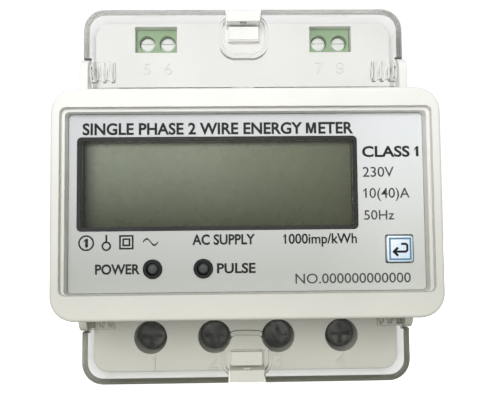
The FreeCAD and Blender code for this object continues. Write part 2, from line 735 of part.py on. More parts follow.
def screw(label, across, up, base, radius, head, length, drive):
    """A terminal screw: domed head, thread cut as rings, and a cross or a slot in the head."""
    body = doc.addObject("PartDesign::Body", label + "_blank")
    plane = [item for item in body.Origin.OriginFeatures if item.Role == "XY_Plane"][0]
    sketch = body.newObject("Sketcher::SketchObject", label + "_profile")
    sketch.AttachmentSupport = [(plane, "")]
    sketch.MapMode = "FlatFace"
    outline = screw_profile(amount(radius), amount(head[0]), amount(head[1]), amount(length))
    for start, end in zip(outline, outline[1:] + outline[:1]):
        sketch.addGeometry(Part.LineSegment(FreeCAD.Vector(*start, 0), FreeCAD.Vector(*end, 0)))
    for index in range(len(outline)):
        following = (index + 1) % len(outline)
        sketch.addConstraint(Sketcher.Constraint("Coincident", index, 2, following, 1))
    turned = body.newObject("PartDesign::Revolution", label + "_turned")
    turned.Profile = sketch
    turned.ReferenceAxis = (sketch, ["V_Axis"])
    turned.Angle = 360
    place(body, across, f"({base}) - ({length})", up, UPRIGHT)
    doc.recompute()
    top = f"({base}) + ({head[1]})"
    tools = [block(label + "_slot", around(across, f"({head[0]}) * {drive[0]}"),
                   (f"{top} - {drive[2]}", f"{top} + 2"), around(up, drive[1]))]
    if drive[3]:
        tools.append(block(label + "_cross", around(across, drive[1]),
                           (f"{top} - {drive[2]}", f"{top} + 2"),
                           around(up, f"({head[0]}) * {drive[0]}")))
    node(cut(label, body, tools), label)


def screw_profile(radius, head_radius, head_height, length):
    """Half the outline of a screw that stands head up, from its tip at the origin (radius, height).

    The forward direction is -Y, so heights are written as -Y.
    """
    points = [(0.0, 0.0), (radius * 0.7, 0.0)]
    pitch = radius * 0.32
    height = radius * 0.3
    while height + pitch < length - 0.2:
        points.append((radius * 0.86, -height))
        points.append((radius, -(height + pitch / 2)))
        height += pitch
    points.append((radius * 0.86, -height))
    points.append((radius * 0.86, -length))
    points.append((head_radius, -length))
    for step in range(5):
        angle = math.radians(22.5 * step)
        crown = head_height * 0.45
        points.append((head_radius - (1 - math.cos(angle)) * head_radius * 0.35,
                       -(length + head_height - crown + crown * math.sin(angle))))
    points.append((0.0, -(length + head_height)))
    return points


def main_terminals():
    """Four screws with rising clamp cages; a cage lifts towards the screw head."""
    seat = "well_floor + head_play"
    tip = "bar_depth + bar_thick + 0.3"
    for number, across in enumerate(POLES, start=1):
        screw(f"terminal_screw_{number}", across, "pole_up", seat, "screw_radius",
              ("head_radius", "head_thick"), f"({seat}) - ({tip})", (1.35, 1.15, 1.6, True))
        cage_top = f"{tip} + cage_wall + 0.2"
        floor = "bar_depth - wire_room"
        whole = block(f"cage_whole{number}", around(across, "cage_width"),
                      (f"{floor} - cage_wall", cage_top), around("pole_up", "cage_length"))
        window = block(f"cage_window{number}", around(across, "cage_width - 2 * 1.1"),
                       (floor, tip), around("pole_up", "cage_length + 2"))
        thread = rod(f"cage_thread{number}", "screw_radius + thread_play", across, "bar_depth",
                     "pole_up", "6")
        node(cut(f"terminal_cage_{number}", whole, [window, thread]), f"terminal_cage_{number}")


def bars():
    """Tongues, shunt and neutral link, all at one depth."""
    depth = ("bar_depth", "bar_depth + bar_thick")
    low = "pole_up - 4.6"
    line_in = block("line_in_bar", around(POLES[0], "bar_width"), depth, (low, "-15"))
    node(line_in, "line_in_bar")
    line_out = block("line_out_bar", around(POLES[1], "bar_width"), depth, (low, "-23.5"))
    node(line_out, "line_out_bar")
    shunt = block("current_shunt", around(POLES[1], "bar_width - 1.6"), depth, ("-23.5", "-15"))
    node(shunt, "current_shunt")
    link = block("neutral_link", (f"{POLES[2]} - bar_width / 2", f"{POLES[3]} + bar_width / 2"),
                 depth, ("-22.5", "-17"))
    tongues = [block(f"neutral_tongue{index}", around(POLES[index], "bar_width"), depth,
                     (low, "-20")) for index in (2, 3)]
    node(fuse("neutral_bar", [link] + tongues), "neutral_bar")


def aux_blocks():
    """Two green two-pole blocks with their chambers, wells and wire holes."""
    rear = "aux_face - aux_height"
    up = ("aux_up - 4.0", f"{BODY_TOP} - wall - 0.1")
    for name, side in (("left", -1), ("right", 1)):
        whole = block(f"aux_whole_{name}", around(f"{side} * aux_across", "2 * aux_pitch"),
                      (rear, "aux_face"), up)
        tools = []
        for step in (-0.5, 0.5):
            across = f"{side} * aux_across + ({step}) * aux_pitch"
            tag = f"{name}{step + 0.5:.0f}"
            tools.append(rod(f"aux_well_{tag}", "aux_well_radius", across, f"{AUX_SEAT} - 0.3",
                             "aux_up", "6"))
            tools.append(rod(f"aux_shank_hole_{tag}", "aux_screw_radius + 0.3", across,
                             "aux_face - 6", "aux_up", "4"))
            tools.append(block(f"aux_chamber_{tag}", around(across, "4.1"),
                               (f"{rear} - 1", "aux_face - 4.8"), ("aux_up - 3.5", "aux_up + 2.7")))
            tools.append(rod(f"aux_wire_{tag}", "1.7", across, AUX_WIRE_DEPTH, "aux_up + 2", "6", "up"))
        node(cut(f"aux_block_{name}", whole, tools), f"aux_block_{name}")


def aux_terminals():
    """Slotted screws, rising cages and soldered tongues of the green blocks."""
    tip = "aux_face - 7.9"
    tongues = []
    for number, across in enumerate(AUX_POLES, start=5):
        screw(f"aux_screw_{number}", across, "aux_up", AUX_SEAT, "aux_screw_radius",
              ("aux_head_radius", "aux_head_thick"), f"{AUX_SEAT} - ({tip})", (2.2, 0.7, 0.7, False))
        whole = block(f"aux_cage_whole{number}", around(across, "3.7"),
                      (f"{tip} - 4.6", f"{tip} + 1.1"), around("aux_up", "4.2"))
        window = block(f"aux_cage_window{number}", around(across, "2.7"),
                       (f"{tip} - 3.8", tip), around("aux_up", "6"))
        thread = rod(f"aux_cage_thread{number}", "aux_screw_radius + thread_play", across,
                     f"{tip} - 1", "aux_up", "4")
        node(cut(f"aux_cage_{number}", whole, [window, thread]), f"aux_cage_{number}")
        plate = block(f"aux_tongue_plate{number}", around(across, "2.2"),
                      (f"{tip} - 0.8", f"{tip} - 0.25"), ("aux_up - 3.2", "aux_up + 1.8"))
        leg = block(f"aux_tongue_leg{number}", around(across, "0.9"),
                    ("aux_face - aux_height - 2.2", f"{tip} - 0.4"), ("aux_up - 3.2", "aux_up - 2.5"))
        tongues.append(fuse(f"aux_tongue{number}", [plate, leg]))
    group("aux_tongues", tongues)


# ---------------------------------------------------------------- boards

def board(label, across, up, depth, holes):
    """A circuit board with drilled holes; its rear face is at the depth."""
    outlines = [(*across, *up, "1.0")] + holes
    node(slab(label, (depth, f"{depth} + board_thick"), outlines), label)


def pin_holes(places, radius):
    """Drilled round holes at (across, up) places."""
    return [(across, up, radius) for across, up in places]


def boards():
    """Main, display and auxiliary boards, and the header that joins the first two."""
    board("main_board", ("-35", "35"), ("-19.8", "19.8"), "main_board_depth",
          pin_holes(POSTS, "1.1"))
    lamp_legs = [(f"lamp_across + ({step}) * lamp_pitch + ({leg})", "lamp_up")
                 for step in (-0.5, 0.5) for leg in (-0.63, 0.63)]
    board("display_board", ("-35.2", "35.2"), ("-19.8", "19.8"), "display_board_depth",
          pin_holes(POSTS, "1.1") + pin_holes(lamp_legs, "0.4") + pin_holes(LCD_ROW, "0.45"))
    legs = [(across, "aux_up - 2.85") for across in AUX_POLES]
    board("aux_board", ("-29", "29"), ("31", f"{BODY_TOP} - wall - 0.3"),
          "aux_face - aux_height - board_thick",
          pin_holes(legs, "0.75"))
    gap = (BOARD_TOP, "display_board_depth")
    pins = [block(f"header_pin{index}", around("header_across", "0.6"), gap,
                  around(2.54 * (index - 2.5), "0.6")) for index in range(6)]
    shroud = block("header_shroud", around("header_across", "2.4"), (BOARD_TOP, "38"),
                   half("header_width"))
    cap = block("header_cap", around("header_across", "2.4"), ("44", "display_board_depth"),
                half("header_width"))
    node(fuse("board_header", pins + [shroud, cap]), "board_header")


def small_screws(label, head_depth, length, direction):
    """Four small screws through the board posts, heads in front or behind."""
    screws = []
    for index, (across, up) in enumerate(POSTS):
        if direction > 0:
            spans = ((head_depth, f"{head_depth} + 1.2"), (f"{head_depth} - {length}", head_depth))
        else:
            spans = ((f"{head_depth} - 1.2", head_depth), (head_depth, f"{head_depth} + {length}"))
        head = rod(f"{label}_head{index}", "1.7", across, spans[0][0], up, "1.2")
        shank = rod(f"{label}_shank{index}", "0.85", across, spans[1][0], up, length)
        screws.append(fuse(f"{label}_part{index}", [head, shank]))
    group(label, screws)


def electronics():
    """The parts on the boards that an energy meter needs to work."""
    node(block("latching_relay", ("-33", "-3.5"), ("8.5", "27.7"), ("-15", "5")), "latching_relay")
    core = block("transformer_core", (2, 16), (BOARD_TOP, "41.6"), (-12, 2))
    bobbin = block("transformer_bobbin", (3.4, 14.6), (BOARD_TOP, "43"), (-14, 4))
    node(fuse("supply_transformer", [core, bobbin]), "supply_transformer")
    node(slab("line_capacitor", (BOARD_TOP, "41"), [("-28", "-10", "-14", "-5.5", "0.8")], "0.6"),
         "line_capacitor")
    node(rod("bulk_capacitor", "5", "-22", BOARD_TOP, "8", "16"), "bulk_capacitor")
    disc = rod("varistor_disc", "5", "-4", "36", "-12", "4", "up")
    legs = [rod(f"varistor_leg{pin}", "0.35", f"-4 + ({pin})", BOARD_TOP, "-10", "4")
            for pin in (-2.5, 2.5)]
    node(fuse("surge_varistor", [disc] + legs), "surge_varistor")
    node(slab("metering_chip", (BOARD_TOP, "31.8"), [("-6", "4", "8", "15.5", "0.3")], "0.2"),
         "metering_chip")
    shield = slab("wifi_shield", ("47.4", "49.6"), [("6", "21", "0", "14", "0.5")], "0.4")
    carrier = slab("wifi_carrier", ("49.6", "display_board_depth"),
                   [("4", "23", "-4.5", "16", "0.3")])
    node(fuse("wifi_module", [shield, carrier]), "wifi_module")
    rear = "aux_face - aux_height"
    couplers = [block(f"coupler{index}", around(-13 + 26 * index, "4.6"), (rear, f"{rear} + 3.5"),
                      around("34.5", "5")) for index in range(2)]
    group("optocouplers", couplers)


# ---------------------------------------------------------------- rail clip

def rail_clip():
    """The sliding latch, its nose under the rail, and the hairpin spring in its window."""
    depth = ("-(1.2 + clip_thick)", "-1.2")
    outline = (*half("clip_width"), "clip_end", "-rail_half + rail_grip", "1.2")
    plate = slab("clip_plate", depth, [outline,
                                       (*half("8"), "-36.5", "-21.5", "1.0"),
                                       (*half("7"), "clip_end + 1.3", "clip_end + 3.6", "0.6")])
    thumb = block("clip_thumb", half("clip_width - 4"), ("-(1.2 + clip_thick + 1.6)", "-3"),
                  ("clip_end", "clip_end + 1.2"))
    node(fuse("din_clip", [plate, thumb]), "din_clip")
    bend = doc.addObject("Part::Torus", "spring_bend")
    bind(bend, Radius1="spring_half", Radius2="spring_wire")
    bend.Angle3 = 180
    place(bend, "0", "spring_depth", "spring_up", FreeCAD.Rotation(FreeCAD.Vector(1, 0, 0), -90))
    legs = [rod(f"spring_leg{side + 1}", "spring_wire", f"({side}) * spring_half", "spring_depth",
                "spring_up", "4.5", "up") for side in (-1, 1)]
    node(fuse("clip_spring", [bend] + legs), "clip_spring")


# ---------------------------------------------------------------- make, check and write

def check():
    """Stops if any object failed, any sub-part is not a sound solid, or a cut removed nothing."""
    doc.recompute()
    for item in doc.Objects:
        if "Invalid" in item.State or "Error" in item.State:
            raise RuntimeError(f"{item.Name} failed: {item.State}")
    for item in cuts:
        if item.Shape.Volume > item.Base.Shape.Volume - 1e-3:
            raise RuntimeError(f"{item.Name} removes nothing")
    for item in nodes:
        if item.Shape.isNull() or not item.Shape.isValid():
            raise RuntimeError(f"{item.Label} is not a valid shape")


def write():
    """One STEP file for each sub-part, named after its label."""
    os.makedirs("parts", exist_ok=True)
    for item in nodes:
        item.Shape.exportStep(f"parts/{item.Label}.step")
        print(f"{item.Label}: {len(item.Shape.Solids)} solid(s), {item.Shape.Volume:.1f} mm3")


base_housing()
front_housing()
housing_screws()
cover("top_terminal_cover", over=False)
cover("bottom_terminal_cover", over=True)
faceplate()
display()
lamps()
key()
main_terminals()
bars()
aux_blocks()
aux_terminals()
boards()
small_screws("board_screws", BOARD_TOP, "6", 1)
small_screws("display_screws", "display_board_depth", "5.4", -1)
electronics()
rail_clip()
check()
write()
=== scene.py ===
"""Looks of a single-phase energy meter for a DIN rail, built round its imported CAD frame.

The frame's own axes are used throughout: X to the right, +Z up, and the front faces -Y.
The meter's sizes are in millimetres here and become metres where they reach Blender; the floor and
the lamps are placed in metres.
"""
import json
import math

import bmesh
import bpy
from mathutils import Matrix, Vector


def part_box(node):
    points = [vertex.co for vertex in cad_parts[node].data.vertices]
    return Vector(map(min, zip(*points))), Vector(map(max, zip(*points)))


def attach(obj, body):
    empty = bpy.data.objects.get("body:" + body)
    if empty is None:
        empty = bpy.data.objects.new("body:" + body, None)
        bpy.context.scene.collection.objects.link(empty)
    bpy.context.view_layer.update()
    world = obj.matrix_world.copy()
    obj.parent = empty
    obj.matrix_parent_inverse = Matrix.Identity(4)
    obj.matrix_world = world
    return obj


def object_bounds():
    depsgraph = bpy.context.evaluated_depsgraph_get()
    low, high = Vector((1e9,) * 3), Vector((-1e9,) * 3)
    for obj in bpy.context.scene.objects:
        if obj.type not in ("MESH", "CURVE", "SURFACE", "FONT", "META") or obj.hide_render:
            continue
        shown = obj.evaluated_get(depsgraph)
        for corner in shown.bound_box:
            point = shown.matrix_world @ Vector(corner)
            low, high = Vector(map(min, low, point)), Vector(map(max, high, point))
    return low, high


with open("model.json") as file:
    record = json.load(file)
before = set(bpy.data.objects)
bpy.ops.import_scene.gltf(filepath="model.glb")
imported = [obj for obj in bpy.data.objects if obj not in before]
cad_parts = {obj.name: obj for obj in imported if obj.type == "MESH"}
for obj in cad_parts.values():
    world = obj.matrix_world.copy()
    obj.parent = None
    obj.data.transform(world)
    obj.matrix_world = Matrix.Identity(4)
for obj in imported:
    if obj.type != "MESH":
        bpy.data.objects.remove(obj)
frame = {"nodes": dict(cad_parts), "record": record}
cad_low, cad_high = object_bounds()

MM = 0.001
BODY = "meter_body"
DECK_DEPTH = 38.7  # how far the terminal decks stand in front of the rail plane, in millimetres


# ---------------------------------------------------------------- node helpers

def grey(level):
    """A neutral colour."""
    return (level, level, level)


def add(mat, kind, inputs=None, **settings):
    """A node of a material or world. Each input is a value or the socket that feeds it."""
    made = mat.node_tree.nodes.new(kind)
    for name, value in settings.items():
        setattr(made, name, value)
    for name, value in (inputs or {}).items():
        if isinstance(value, bpy.types.NodeSocket):
            mat.node_tree.links.new(value, made.inputs[name])
        else:
            made.inputs[name].default_value = value
    return made


def surface(mat):
    """The material's Principled shader."""
    return mat.node_tree.nodes["Principled BSDF"]


def feed(mat, name, socket):
    """Links a socket to an input of the Principled shader."""
    mat.node_tree.links.new(socket, surface(mat).inputs[name])


def place(mat, stretch=(1, 1, 1)):
    """Object coordinates, in metres, stretched along each axis."""
    where = add(mat, "ShaderNodeTexCoord").outputs["Object"]
    return add(mat, "ShaderNodeMapping", {"Vector": where, "Scale": stretch}).outputs["Vector"]


def math_of(mat, operation, first, second):
    """Two values, or the sockets that give them, put through one Math operation."""
    return add(mat, "ShaderNodeMath", {0: first, 1: second}, operation=operation).outputs[0]


def along(mat, node, axis):
    """How far a point lies along one axis of a node's box, from 0 to 1, and level beyond it."""
    low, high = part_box(node)
    parts = add(mat, "ShaderNodeSeparateXYZ", {0: place(mat)}).outputs
    return spread(mat, parts[axis], 0.0, 1.0, getattr(low, axis.lower()), getattr(high, axis.lower()))


def noise(mat, size, detail=3.0, stretch=(1, 1, 1), roughness=0.5):
    """Noise from 0 to 1 whose blotches are about size millimetres across."""
    inputs = {"Vector": place(mat, stretch), "Scale": 1 / (size * MM), "Detail": detail,
              "Roughness": roughness}
    return add(mat, "ShaderNodeTexNoise", inputs).outputs["Fac"]


def ramp(mat, factor, stops):
    """A colour ramp with stops of (position, colour)."""
    made = add(mat, "ShaderNodeValToRGB", {"Fac": factor})
    elements = made.color_ramp.elements
    while len(elements) < len(stops):
        elements.new(0.5)
    for element, (position, colour) in zip(elements, stops):
        element.position = position
        element.color = (*colour, 1)
    return made.outputs["Color"]


def spread(mat, value, low, high, start=0.0, end=1.0, smooth=False):
    """A value from low at start to high at end, and level beyond them."""
    kind = "SMOOTHSTEP" if smooth else "LINEAR"
    inputs = {"Value": value, "From Min": start, "From Max": end, "To Min": low, "To Max": high}
    return add(mat, "ShaderNodeMapRange", inputs, interpolation_type=kind).outputs["Result"]


def blend(mat, factor, first, second, kind="MIX"):
    """Two colours or colour sockets mixed by a factor."""
    made = add(mat, "ShaderNodeMix", data_type="RGBA", blend_type=kind)
    for socket, value in ((made.inputs[0], factor), (made.inputs[6], first), (made.inputs[7], second)):
        if isinstance(value, bpy.types.NodeSocket):
            mat.node_tree.links.new(value, socket)
        else:
            socket.default_value = value if isinstance(value, float) else (*value, 1)
    return made.outputs[2]


def bump(mat, height, distance, strength=1.0, rounding=0.0):
    """Feeds a height, in millimetres of relief, to the surface; rounding softens sharp edges."""
    inputs = {"Height": height, "Distance": distance * MM, "Strength": strength}
    if rounding:
        rounded = add(mat, "ShaderNodeBevel", {"Radius": rounding * MM}, samples=4)
        inputs["Normal"] = rounded.outputs["Normal"]
    feed(mat, "Normal", add(mat, "ShaderNodeBump", inputs).outputs["Normal"])


def material(name, rough, **sockets):
    """A Principled material with plain values on its own sockets."""
    mat = bpy.data.materials.new(name)
    mat.use_nodes = True
    shader = surface(mat)
    shader.inputs["Roughness"].default_value = rough
    for socket, value in sockets.items():
        shader.inputs[socket.replace("_", " ")].default_value = value
    return mat


# ---------------------------------------------------------------- materials

def moulded(name, dark, light, rough=(0.35, 0.5), grain=0.12, relief=0.004, rounding=0.0, **sockets):
    """Moulded plastic: faint flow marks in its colour, a fine spark-eroded grain, uneven sheen."""
    mat = material(name, sum(rough) / 2, **sockets)
    feed(mat, "Base Color", ramp(mat, noise(mat, 14, 4), [(0.3, dark), (0.7, light)]))
    feed(mat, "Roughness", spread(mat, noise(mat, 5, 3), *rough, 0.3, 0.7))
    bump(mat, noise(mat, grain, 2), relief, 1.0, rounding)
    return mat


def metal(name, dark, light, rough=(0.25, 0.45), stretch=(1, 1, 6), size=0.5, relief=0.003):
    """Plated or drawn metal: lengthwise scratches, cloudy plating and a slight stain in its colour."""
    mat = material(name, rough[0], Metallic=1.0)
    streaks = noise(mat, size, 5, stretch, 0.65)
    stain = noise(mat, 2.5, 4)
    feed(mat, "Base Color", ramp(mat, stain, [(0.35, dark), (0.65, light)]))
    feed(mat, "Roughness", spread(mat, streaks, *rough, 0.3, 0.7))
    bump(mat, streaks, relief)
    return mat


def housing_white():
    """Off-white ABS with a satin mould finish and softened edges, with painted shade in its colour:
    lighter at the top, darker and warmer lower down.
    """
    mat = moulded("housing_white", grey(0.95), grey(1.0), (0.38, 0.5),
                  grain=0.16, relief=0.005, rounding=0.25)
    # Painted shade: the colour is lighter at the top and darker and warmer lower down, darkest in a band
    # near the lower end.
    shade = ramp(mat, along(mat, "front_housing", "Z"), [
        (0.1, (0.70, 0.70, 0.63)), (0.28, (0.59, 0.59, 0.54)),
        (0.6, (0.775, 0.775, 0.74)), (0.9, (0.875, 0.87, 0.85))])
    flow = surface(mat).inputs["Base Color"].links[0].from_socket
    feed(mat, "Base Color", blend(mat, 1.0, shade, flow, "MULTIPLY"))
    return mat


def screw_bright():
    """Matt zinc whose near-white colour is a painted highlight, with faint turning marks."""
    mat = material("screw_bright", 0.45, Metallic=0.15)
    # Painted highlight: the heads are coloured near white all over.
    painted_glint_tones = [(0.3, (0.95, 0.95, 0.94)), (0.7, grey(1.0))]
    feed(mat, "Base Color", ramp(mat, noise(mat, 1.2, 3), painted_glint_tones))
    feed(mat, "Roughness", spread(mat, noise(mat, 0.4, 3), 0.38, 0.52))
    bump(mat, noise(mat, 0.2, 2), 0.004)
    return mat


def see_through(name, tint, ior, rough=0.02, density=0.0):
    """Clear moulded plastic that lamps shine through, greyer the further light runs in it."""
    mat = material(name, rough, IOR=ior, Transmission_Weight=1.0, Base_Color=(*tint, 1))
    bump(mat, noise(mat, 9, 2), 0.02, 0.5)
    paths = add(mat, "ShaderNodeLightPath").outputs
    passing = math_of(mat, "MAXIMUM", paths["Is Shadow Ray"], paths["Is Diffuse Ray"])
    bare = add(mat, "ShaderNodeBsdfTransparent", {"Color": (*tint, 1)})
    mixed = add(mat, "ShaderNodeMixShader", {0: passing, 1: surface(mat).outputs[0], 2: bare.outputs[0]})
    output = mat.node_tree.nodes["Material Output"]
    mat.node_tree.links.new(mixed.outputs[0], output.inputs["Surface"])
    if density:
        haze = {"Color": (0.83, 0.835, 0.825, 1), "Density": density}
        inside = add(mat, "ShaderNodeVolumeAbsorption", haze)
        mat.node_tree.links.new(inside.outputs[0], output.inputs["Volume"])
    return mat


def faceplate_print():
    """Silver-grey printed sheet: a cool grey with fine flecks, with painted shade darker lower down and
    to the left and a painted sheen lighter to the right.
    """
    mat = material("faceplate_print", 0.42)
    # Painted shade: the grey is darker lower down the sheet and lighter at its top.
    shade = ramp(mat, along(mat, "faceplate", "Z"), [
        (0.1, (0.46, 0.475, 0.44)), (0.6, (0.58, 0.59, 0.585)), (1.0, (0.635, 0.65, 0.665))])
    # Painted sheen: the grey is darker to the left and lighter towards the right.
    painted_sheen = ramp(mat, along(mat, "faceplate", "X"), [
        (0.05, (0.92, 0.92, 0.93)), (0.7, grey(1.0)), (0.9, (1.16, 1.16, 1.17))])
    flecks = ramp(mat, noise(mat, 0.25, 2), [(0.3, grey(0.95)), (0.7, grey(1.0))])
    shaded = blend(mat, 1.0, shade, painted_sheen, "MULTIPLY")
    feed(mat, "Base Color", blend(mat, 1.0, shaded, flecks, "MULTIPLY"))
    feed(mat, "Roughness", spread(mat, noise(mat, 3, 3), 0.34, 0.48, 0.3, 0.7))
    bump(mat, noise(mat, 0.3, 2), 0.003)
    return mat


def lcd_glass():
    """Grey-green liquid crystal with painted light and shade: a painted reflection lighter above and to
    the left, darker below, and a painted shadow of the window frame along its left and top edges.
    """
    mat = material("lcd_glass", 0.3)
    low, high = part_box("lcd_panel")
    where = add(mat, "ShaderNodeSeparateXYZ", {0: place(mat)}).outputs
    level = along(mat, "lcd_panel", "Z")
    across = along(mat, "lcd_panel", "X")
    # Painted reflection: the upper part is lighter, most at the left, and the lower part is dark.
    upper = ramp(mat, across, [
        (0.0, (0.33, 0.35, 0.28)), (0.6, (0.24, 0.255, 0.185)), (1.0, (0.155, 0.165, 0.11))])
    lower = ramp(mat, across, [(0.0, (0.050, 0.063, 0.034)), (1.0, (0.060, 0.066, 0.031))])
    shade = blend(mat, spread(mat, level, 0.0, 1.0, 0.1, 0.95), lower, upper)
    # Painted shadow of the window frame along the left and top edges.
    left = spread(mat, where["X"], 0.15, 1.0, low.x + 1.2 * MM, low.x + 5.2 * MM, True)
    top = spread(mat, where["Z"], 0.2, 1.0, high.z - 1.4 * MM, high.z - 3.6 * MM, True)
    painted_frame_shadow = ramp(mat, math_of(mat, "MULTIPLY", left, top), [(0.0, grey(0.0)), (1.0, grey(1.0))])
    cloud = ramp(mat, noise(mat, 7, 3), [(0.3, grey(0.93)), (0.7, grey(1.0))])
    shaded = blend(mat, 1.0, shade, painted_frame_shadow, "MULTIPLY")
    feed(mat, "Base Color", blend(mat, 1.0, shaded, cloud, "MULTIPLY"))
    feed(mat, "Roughness", spread(mat, noise(mat, 2, 2), 0.22, 0.34))
    return mat


def key_plastic():
    """Pale blue key with a painted highlight: whiter towards its upper left corner."""
    mat = material("key_plastic", 0.3, Coat_Weight=0.4)
    low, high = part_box("push_button")
    where = add(mat, "ShaderNodeSeparateXYZ", {0: place(mat)}).outputs
    right = spread(mat, where["X"], 0.0, 0.5, low.x, high.x)
    down = spread(mat, where["Z"], 0.5, 0.0, low.z, high.z)
    # Painted highlight: the blue pales to white towards the upper left corner and deepens towards the
    # lower right.
    shade = ramp(mat, math_of(mat, "ADD", right, down), [
        (0.2, (0.88, 0.93, 0.96)), (0.45, (0.70, 0.80, 0.88)), (0.9, (0.55, 0.68, 0.82))])
    flecks = ramp(mat, noise(mat, 0.4, 2), [(0.3, grey(0.96)), (0.7, grey(1.0))])
    feed(mat, "Base Color", blend(mat, 1.0, shade, flecks, "MULTIPLY"))
    bump(mat, noise(mat, 0.5, 2), 0.004)
    return mat


def solder_mask():
    """Circuit board: green resist over a weave, with copper runs a shade lighter beneath it."""
    mat = material("board_green", 0.35)
    runs = add(mat, "ShaderNodeTexBrick", {
        "Vector": place(mat), "Scale": 1 / (3.1 * MM), "Mortar Size": 0.05,
        "Color1": (0.025, 0.13, 0.055, 1), "Color2": (0.03, 0.16, 0.07, 1),
        "Mortar": (0.015, 0.08, 0.035, 1)})
    feed(mat, "Base Color", runs.outputs["Color"])
    feed(mat, "Roughness", spread(mat, noise(mat, 2, 2), 0.3, 0.45))
    bump(mat, runs.outputs["Fac"], 0.03, 0.6)
    return mat


def ink(name, colour):
    """Screen-printed ink with slightly uneven cover."""
    mat = material(name, 0.5)
    lighter = tuple(min(1.0, part * 1.3 + 0.006) for part in colour)
    feed(mat, "Base Color", ramp(mat, noise(mat, 0.15, 2), [(0.35, colour), (0.75, lighter)]))
    feed(mat, "Roughness", spread(mat, noise(mat, 0.2, 2), 0.4, 0.6))
    bump(mat, noise(mat, 0.1, 2), 0.003)
    return mat


def dressed():
    """One material for each slot of the record."""
    return {
        "housing_white": housing_white(),
        "clear_cover": see_through("clear_cover", grey(0.99), 1.49, 0.015, 120.0),
        "faceplate_print": faceplate_print(),
        "display_black": moulded("display_black", grey(0.024), grey(0.034), (0.22, 0.34)),
        "clear_lens": see_through("clear_lens", (0.93, 0.94, 0.93), 1.45, 0.03),
        "lcd_glass": lcd_glass(),
        "light_guide": moulded("light_guide", (0.8, 0.82, 0.85), (0.86, 0.88, 0.9)),
        "board_green": solder_mask(),
        "terminal_green": moulded("terminal_green", (0.30, 0.43, 0.265), (0.37, 0.50, 0.32), (0.35, 0.5),
                                  grain=0.2, relief=0.006, rounding=0.2),
        "screw_steel": metal("screw_steel", (0.33, 0.33, 0.34), (0.62, 0.62, 0.63)),
        "screw_dark": metal("screw_dark", grey(0.03), (0.22, 0.22, 0.225), (0.15, 0.28), size=0.8),
        "screw_bright": screw_bright(),
        "cage_steel": metal("cage_steel", (0.5, 0.49, 0.46), (0.68, 0.67, 0.64)),
        "bar_brass": metal("bar_brass", (0.62, 0.46, 0.22), (0.76, 0.6, 0.34)),
        "shunt_alloy": metal("shunt_alloy", (0.5, 0.36, 0.26), (0.62, 0.47, 0.35)),
        "pin_metal": metal("pin_metal", (0.68, 0.67, 0.63), (0.8, 0.79, 0.75), (0.15, 0.3)),
        "lamp_lens": moulded("lamp_lens", (0.05, 0.055, 0.055), (0.085, 0.09, 0.09), (0.12, 0.2),
                             Coat_Weight=0.6),
        "black_plastic": moulded("black_plastic", grey(0.010), grey(0.018), (0.32, 0.45)),
        "key_plastic": key_plastic(),
        "switch_black": moulded("switch_black", grey(0.03), grey(0.05)),
        "chip_black": moulded("chip_black", (0.025, 0.025, 0.028), (0.045, 0.045, 0.05), (0.45, 0.6)),
        "capacitor_yellow": moulded("capacitor_yellow", (0.68, 0.54, 0.1), (0.78, 0.64, 0.16),
                                    (0.2, 0.35)),
        "capacitor_sleeve": moulded("capacitor_sleeve", (0.03, 0.045, 0.12), (0.05, 0.07, 0.17),
                                    (0.15, 0.3)),
        "varistor_blue": moulded("varistor_blue", (0.06, 0.14, 0.42), (0.1, 0.2, 0.5), (0.2, 0.3)),
        "transformer_tape": moulded("transformer_tape", (0.6, 0.48, 0.1), (0.72, 0.6, 0.16),
                                    (0.3, 0.4)),
        "shield_metal": metal("shield_metal", grey(0.6), grey(0.74)),
        "clip_grey": moulded("clip_grey", (0.50, 0.51, 0.50), (0.58, 0.59, 0.58), (0.4, 0.55)),
    }


def dress_frame(materials):
    """Gives every CAD node the material of its slot."""
    for part in frame["record"]["subparts"]:
        piece = frame["nodes"][part["node"]]
        piece.data.materials.clear()
        piece.data.materials.append(materials[part["material_slot"]])


# ---------------------------------------------------------------- flat artwork

def to_front(depth):
    """Turns artwork drawn in X and Y, rising along Z, so that it stands on a front face."""
    return Matrix.Translation((0, -depth, 0)) @ Matrix.Rotation(math.radians(90), 4, "X")


def flat_mesh(curve):
    """The mesh of a curve datablock, which is then dropped."""
    holder = bpy.data.objects.new("holder", curve)
    mesh = bpy.data.meshes.new_from_object(holder)
    bpy.data.objects.remove(holder)
    bpy.data.curves.remove(curve)
    return mesh


def drawn(text, weight=0.0):
    """The flat mesh of a text in the built-in face, at size 1."""
    curve = bpy.data.curves.new("letters", "FONT")
    curve.body = text
    curve.offset = weight
    curve.resolution_u = 4
    return flat_mesh(curve)


def width_of(text):
    """How wide the built-in face draws a text at size 1."""
    mesh = drawn(text)
    xs = [vertex.co.x for vertex in mesh.vertices]
    bpy.data.meshes.remove(mesh)
    return max(xs) - min(xs)


def cap_height():
    """How high the built-in face draws a capital H of size 1."""
    mesh = drawn("H")
    top = max(vertex.co.y for vertex in mesh.vertices)
    bpy.data.meshes.remove(mesh)
    return top


def straight_glyph(mark, cap, weight):
    """The outline and the advance of an M or a 1 with upright, evenly thick strokes."""
    stem = 0.095 + 2 * weight
    if mark == "1":
        wide = 0.26
        right = wide - 0.03
        points = [(right, 0), (right, cap), (right - stem * 0.8, cap), (0.0, cap * 0.76),
                  (0.0, cap * 0.76 - stem), (right - stem, cap * 0.8), (right - stem, 0)]
        return points[::-1], wide + 0.14
    wide, middle = 0.66, 0.33
    notch = cap - stem * 2.0
    points = [(0, 0), (stem, 0), (stem, notch), (middle - stem * 0.42, 0), (middle + stem * 0.42, 0),
              (wide - stem, notch), (wide - stem, 0), (wide, 0), (wide, cap),
              (wide - stem * 1.35, cap), (middle, stem * 1.7), (stem * 1.35, cap), (0, cap)]
    return points, wide + 0.09


